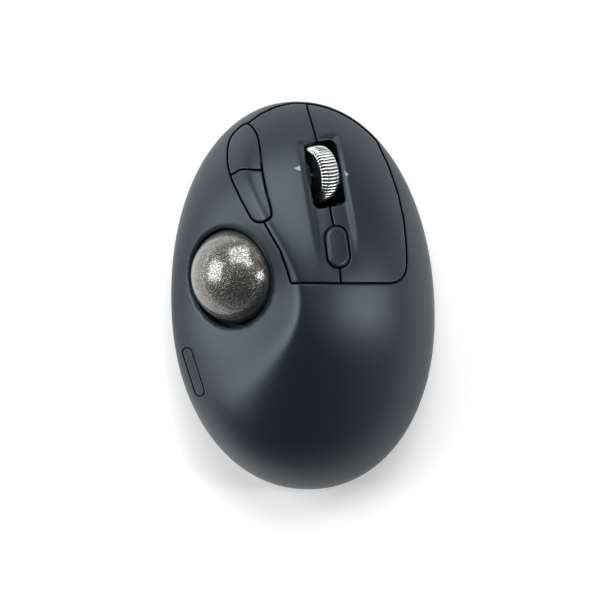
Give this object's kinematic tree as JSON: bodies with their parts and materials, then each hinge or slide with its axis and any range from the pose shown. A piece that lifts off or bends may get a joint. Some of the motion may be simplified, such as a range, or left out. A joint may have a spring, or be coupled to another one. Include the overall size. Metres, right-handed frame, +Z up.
{
  "type": "trackball mouse",
  "caption": "Ergonomic thumb trackball mouse with two long keys, a tilting scroll wheel, two side buttons and a mode button on a high, right-leaning palm rest.",
  "frame": {"origin": "under the middle of the body, on the surface that it stands on", "axes": "+Y to the front, where the fingertips lie; +X to the right; +Z up"},
  "size_m": [0.093, 0.1369, 0.0464],
  "materials": {
    "shell_plastic": "fine satin texture, blue-grey",
    "inner_plastic": "plain moulded black",
    "foot_rubber": "matt",
    "circuit_board": "green solder mask",
    "steel": "bright",
    "switch_body": "moulded",
    "switch_plunger": "off-white",
    "wheel_chrome": "ribbed bright plating",
    "ball_coat": "speckled pewter-grey lacquer",
    "clear_lens": "clear moulded",
    "status_window": "smoked window",
    "battery_wrap": "shrink sleeve"
  },
  "bodies": {
    "housing": {"top_shell": "shell_plastic", "base_plate": "inner_plastic", "back_switch": "switch_body", "ball_socket": "inner_plastic", "base_screw_1": "steel", "base_screw_2": "steel", "base_screw_3": "steel", "base_screw_4": "steel", "battery_pack": "battery_wrap", "bearing_1": "switch_plunger", "bearing_2": "switch_plunger", "bearing_3": "switch_plunger", "board_screw_1": "steel", "board_screw_2": "steel", "cradle_spring_front": "steel", "cradle_spring_rear": "steel", "foot_1": "foot_rubber", "foot_2": "foot_rubber", "foot_3": "foot_rubber", "foot_4": "foot_rubber", "foot_5": "foot_rubber", "forward_switch": "switch_body", "left_switch": "switch_body", "main_board": "circuit_board", "mid_frame": "inner_plastic", "mode_switch": "switch_body", "mode_switch_board": "circuit_board", "pairing_switch": "steel", "power_switch_body": "steel", "right_switch": "switch_body", "sensor_board": "circuit_board", "sensor_chip": "switch_body", "sensor_lens": "clear_lens", "side_bracket": "inner_plastic", "side_switch_board": "circuit_board", "status_lens": "status_window", "usb_c_port": "steel", "wheel_bracket": "inner_plastic", "wheel_switch": "steel"},
    "left_button": {"left_button": "shell_plastic"},
    "right_button": {"right_button": "shell_plastic"},
    "forward_button": {"forward_button": "shell_plastic"},
    "back_button": {"back_button": "shell_plastic"},
    "mode_button": {"mode_button": "shell_plastic"},
    "cradle": {"wheel_cradle": "inner_plastic"},
    "yoke": {"wheel_yoke": "inner_plastic", "wheel_encoder": "switch_body"},
    "wheel": {"wheel_tyre": "wheel_chrome", "wheel_hub": "inner_plastic", "wheel_axle": "steel"},
    "ball": {"trackball": "ball_coat"},
    "power_slider": {"power_slider": "inner_plastic"},
    "pairing_button": {"pairing_button": "inner_plastic"},
    "left_plunger": {"left_plunger": "switch_plunger"},
    "right_plunger": {"right_plunger": "switch_plunger"},
    "forward_plunger": {"forward_plunger": "switch_plunger"},
    "back_plunger": {"back_plunger": "switch_plunger"},
    "mode_plunger": {"mode_plunger": "switch_plunger"},
    "wheel_plunger": {"wheel_plunger": "switch_plunger"}
  },
  "joints": [
    {"name": "left_click", "type": "hinge", "parent": "housing", "child": "left_button", "pos_m": [0.002, -0.008, 0.04003], "axis": [-1, 0, 0], "range_deg": [0, 0.5], "stiffness_Nm_per_rad": 4.5, "springref_deg": -0.29},
    {"name": "right_click", "type": "hinge", "parent": "housing", "child": "right_button", "pos_m": [0.019, -0.008, 0.03287], "axis": [-1, 0, 0], "range_deg": [0, 0.5], "stiffness_Nm_per_rad": 4.5, "springref_deg": -0.29},
    {"name": "forward_press", "type": "hinge", "parent": "housing", "child": "forward_button", "pos_m": [-0.0136, 0.0478, 0.02662], "axis": [0.12, -0.8002, 0.5876], "range_deg": [0, 3.5], "stiffness_Nm_per_rad": 0.08, "springref_deg": -1.72},
    {"name": "back_press", "type": "hinge", "parent": "housing", "child": "back_button", "pos_m": [-0.011, 0.035, 0.03406], "axis": [0.1352, -0.9013, 0.4115], "range_deg": [0, 3.5], "stiffness_Nm_per_rad": 0.08, "springref_deg": -1.72},
    {"name": "mode_press", "type": "slide", "parent": "housing", "child": "mode_button", "axis": [0, 0, -1], "range_m": [0, 0.0005], "stiffness_N_per_m": 1500, "springref_m": -0.0003},
    {"name": "wheel_click", "type": "slide", "parent": "housing", "child": "cradle", "axis": [-0.4478, -0.0749, -0.891], "range_m": [0, 0.0004], "stiffness_N_per_m": 2500, "springref_m": -0.0003, "deforming": ["cradle_spring_front", "cradle_spring_rear"]},
    {"name": "wheel_tilt", "type": "hinge", "parent": "cradle", "child": "yoke", "pos_m": [0.0022, 0.04161, 0.01795], "axis": [-0.165, 0.9863, 0], "range_deg": [-2.5, 2.5], "stiffness_Nm_per_rad": 0.4},
    {"name": "wheel_spin", "type": "hinge", "parent": "yoke", "child": "wheel", "pos_m": [0.00533, 0.04214, 0.02419], "axis": [0.8788, 0.1471, -0.454], "continuous": true},
    {"name": "ball_roll", "type": "hinge", "parent": "housing", "child": "ball", "pos_m": [-0.02224, 0.00696, 0.02425], "axis": [1, 0, 0], "continuous": true},
    {"name": "power_slide", "type": "slide", "parent": "housing", "child": "power_slider", "axis": [1, 0, 0], "range_m": [0, 0.002]},
    {"name": "pairing_press", "type": "slide", "parent": "housing", "child": "pairing_button", "axis": [0, 0, 1], "range_m": [0, 0.0004], "stiffness_N_per_m": 1500, "springref_m": -0.0003},
    {"name": "left_plunge", "type": "slide", "parent": "housing", "child": "left_plunger", "axis": [0, 0, -1], "range_m": [0, 0.000568]},
    {"name": "right_plunge", "type": "slide", "parent": "housing", "child": "right_plunger", "axis": [0, 0, -1], "range_m": [0, 0.000498]},
    {"name": "forward_plunge", "type": "slide", "parent": "housing", "child": "forward_plunger", "axis": [0, 0, -1], "range_m": [0, 0.000267]},
    {"name": "back_plunge", "type": "slide", "parent": "housing", "child": "back_plunger", "axis": [0, 0, -1], "range_m": [0, 0.000414]},
    {"name": "mode_plunge", "type": "slide", "parent": "housing", "child": "mode_plunger", "axis": [0, 0, -1], "range_m": [0, 0.000501]},
    {"name": "wheel_plunge", "type": "slide", "parent": "housing", "child": "wheel_plunger", "axis": [-0.4478, -0.0749, -0.891], "range_m": [0, 0.000401]}
  ],
  "couplings": [
    {"joint": "left_plunge", "follows": "left_click", "m_per_rad": 0.065},
    {"joint": "right_plunge", "follows": "right_click", "m_per_rad": 0.057},
    {"joint": "forward_plunge", "follows": "forward_press", "m_per_rad": 0.004357},
    {"joint": "back_plunge", "follows": "back_press", "m_per_rad": 0.00676},
    {"joint": "mode_plunge", "follows": "mode_press", "ratio": 1},
    {"joint": "wheel_plunge", "follows": "wheel_click", "ratio": 1}
  ]
}
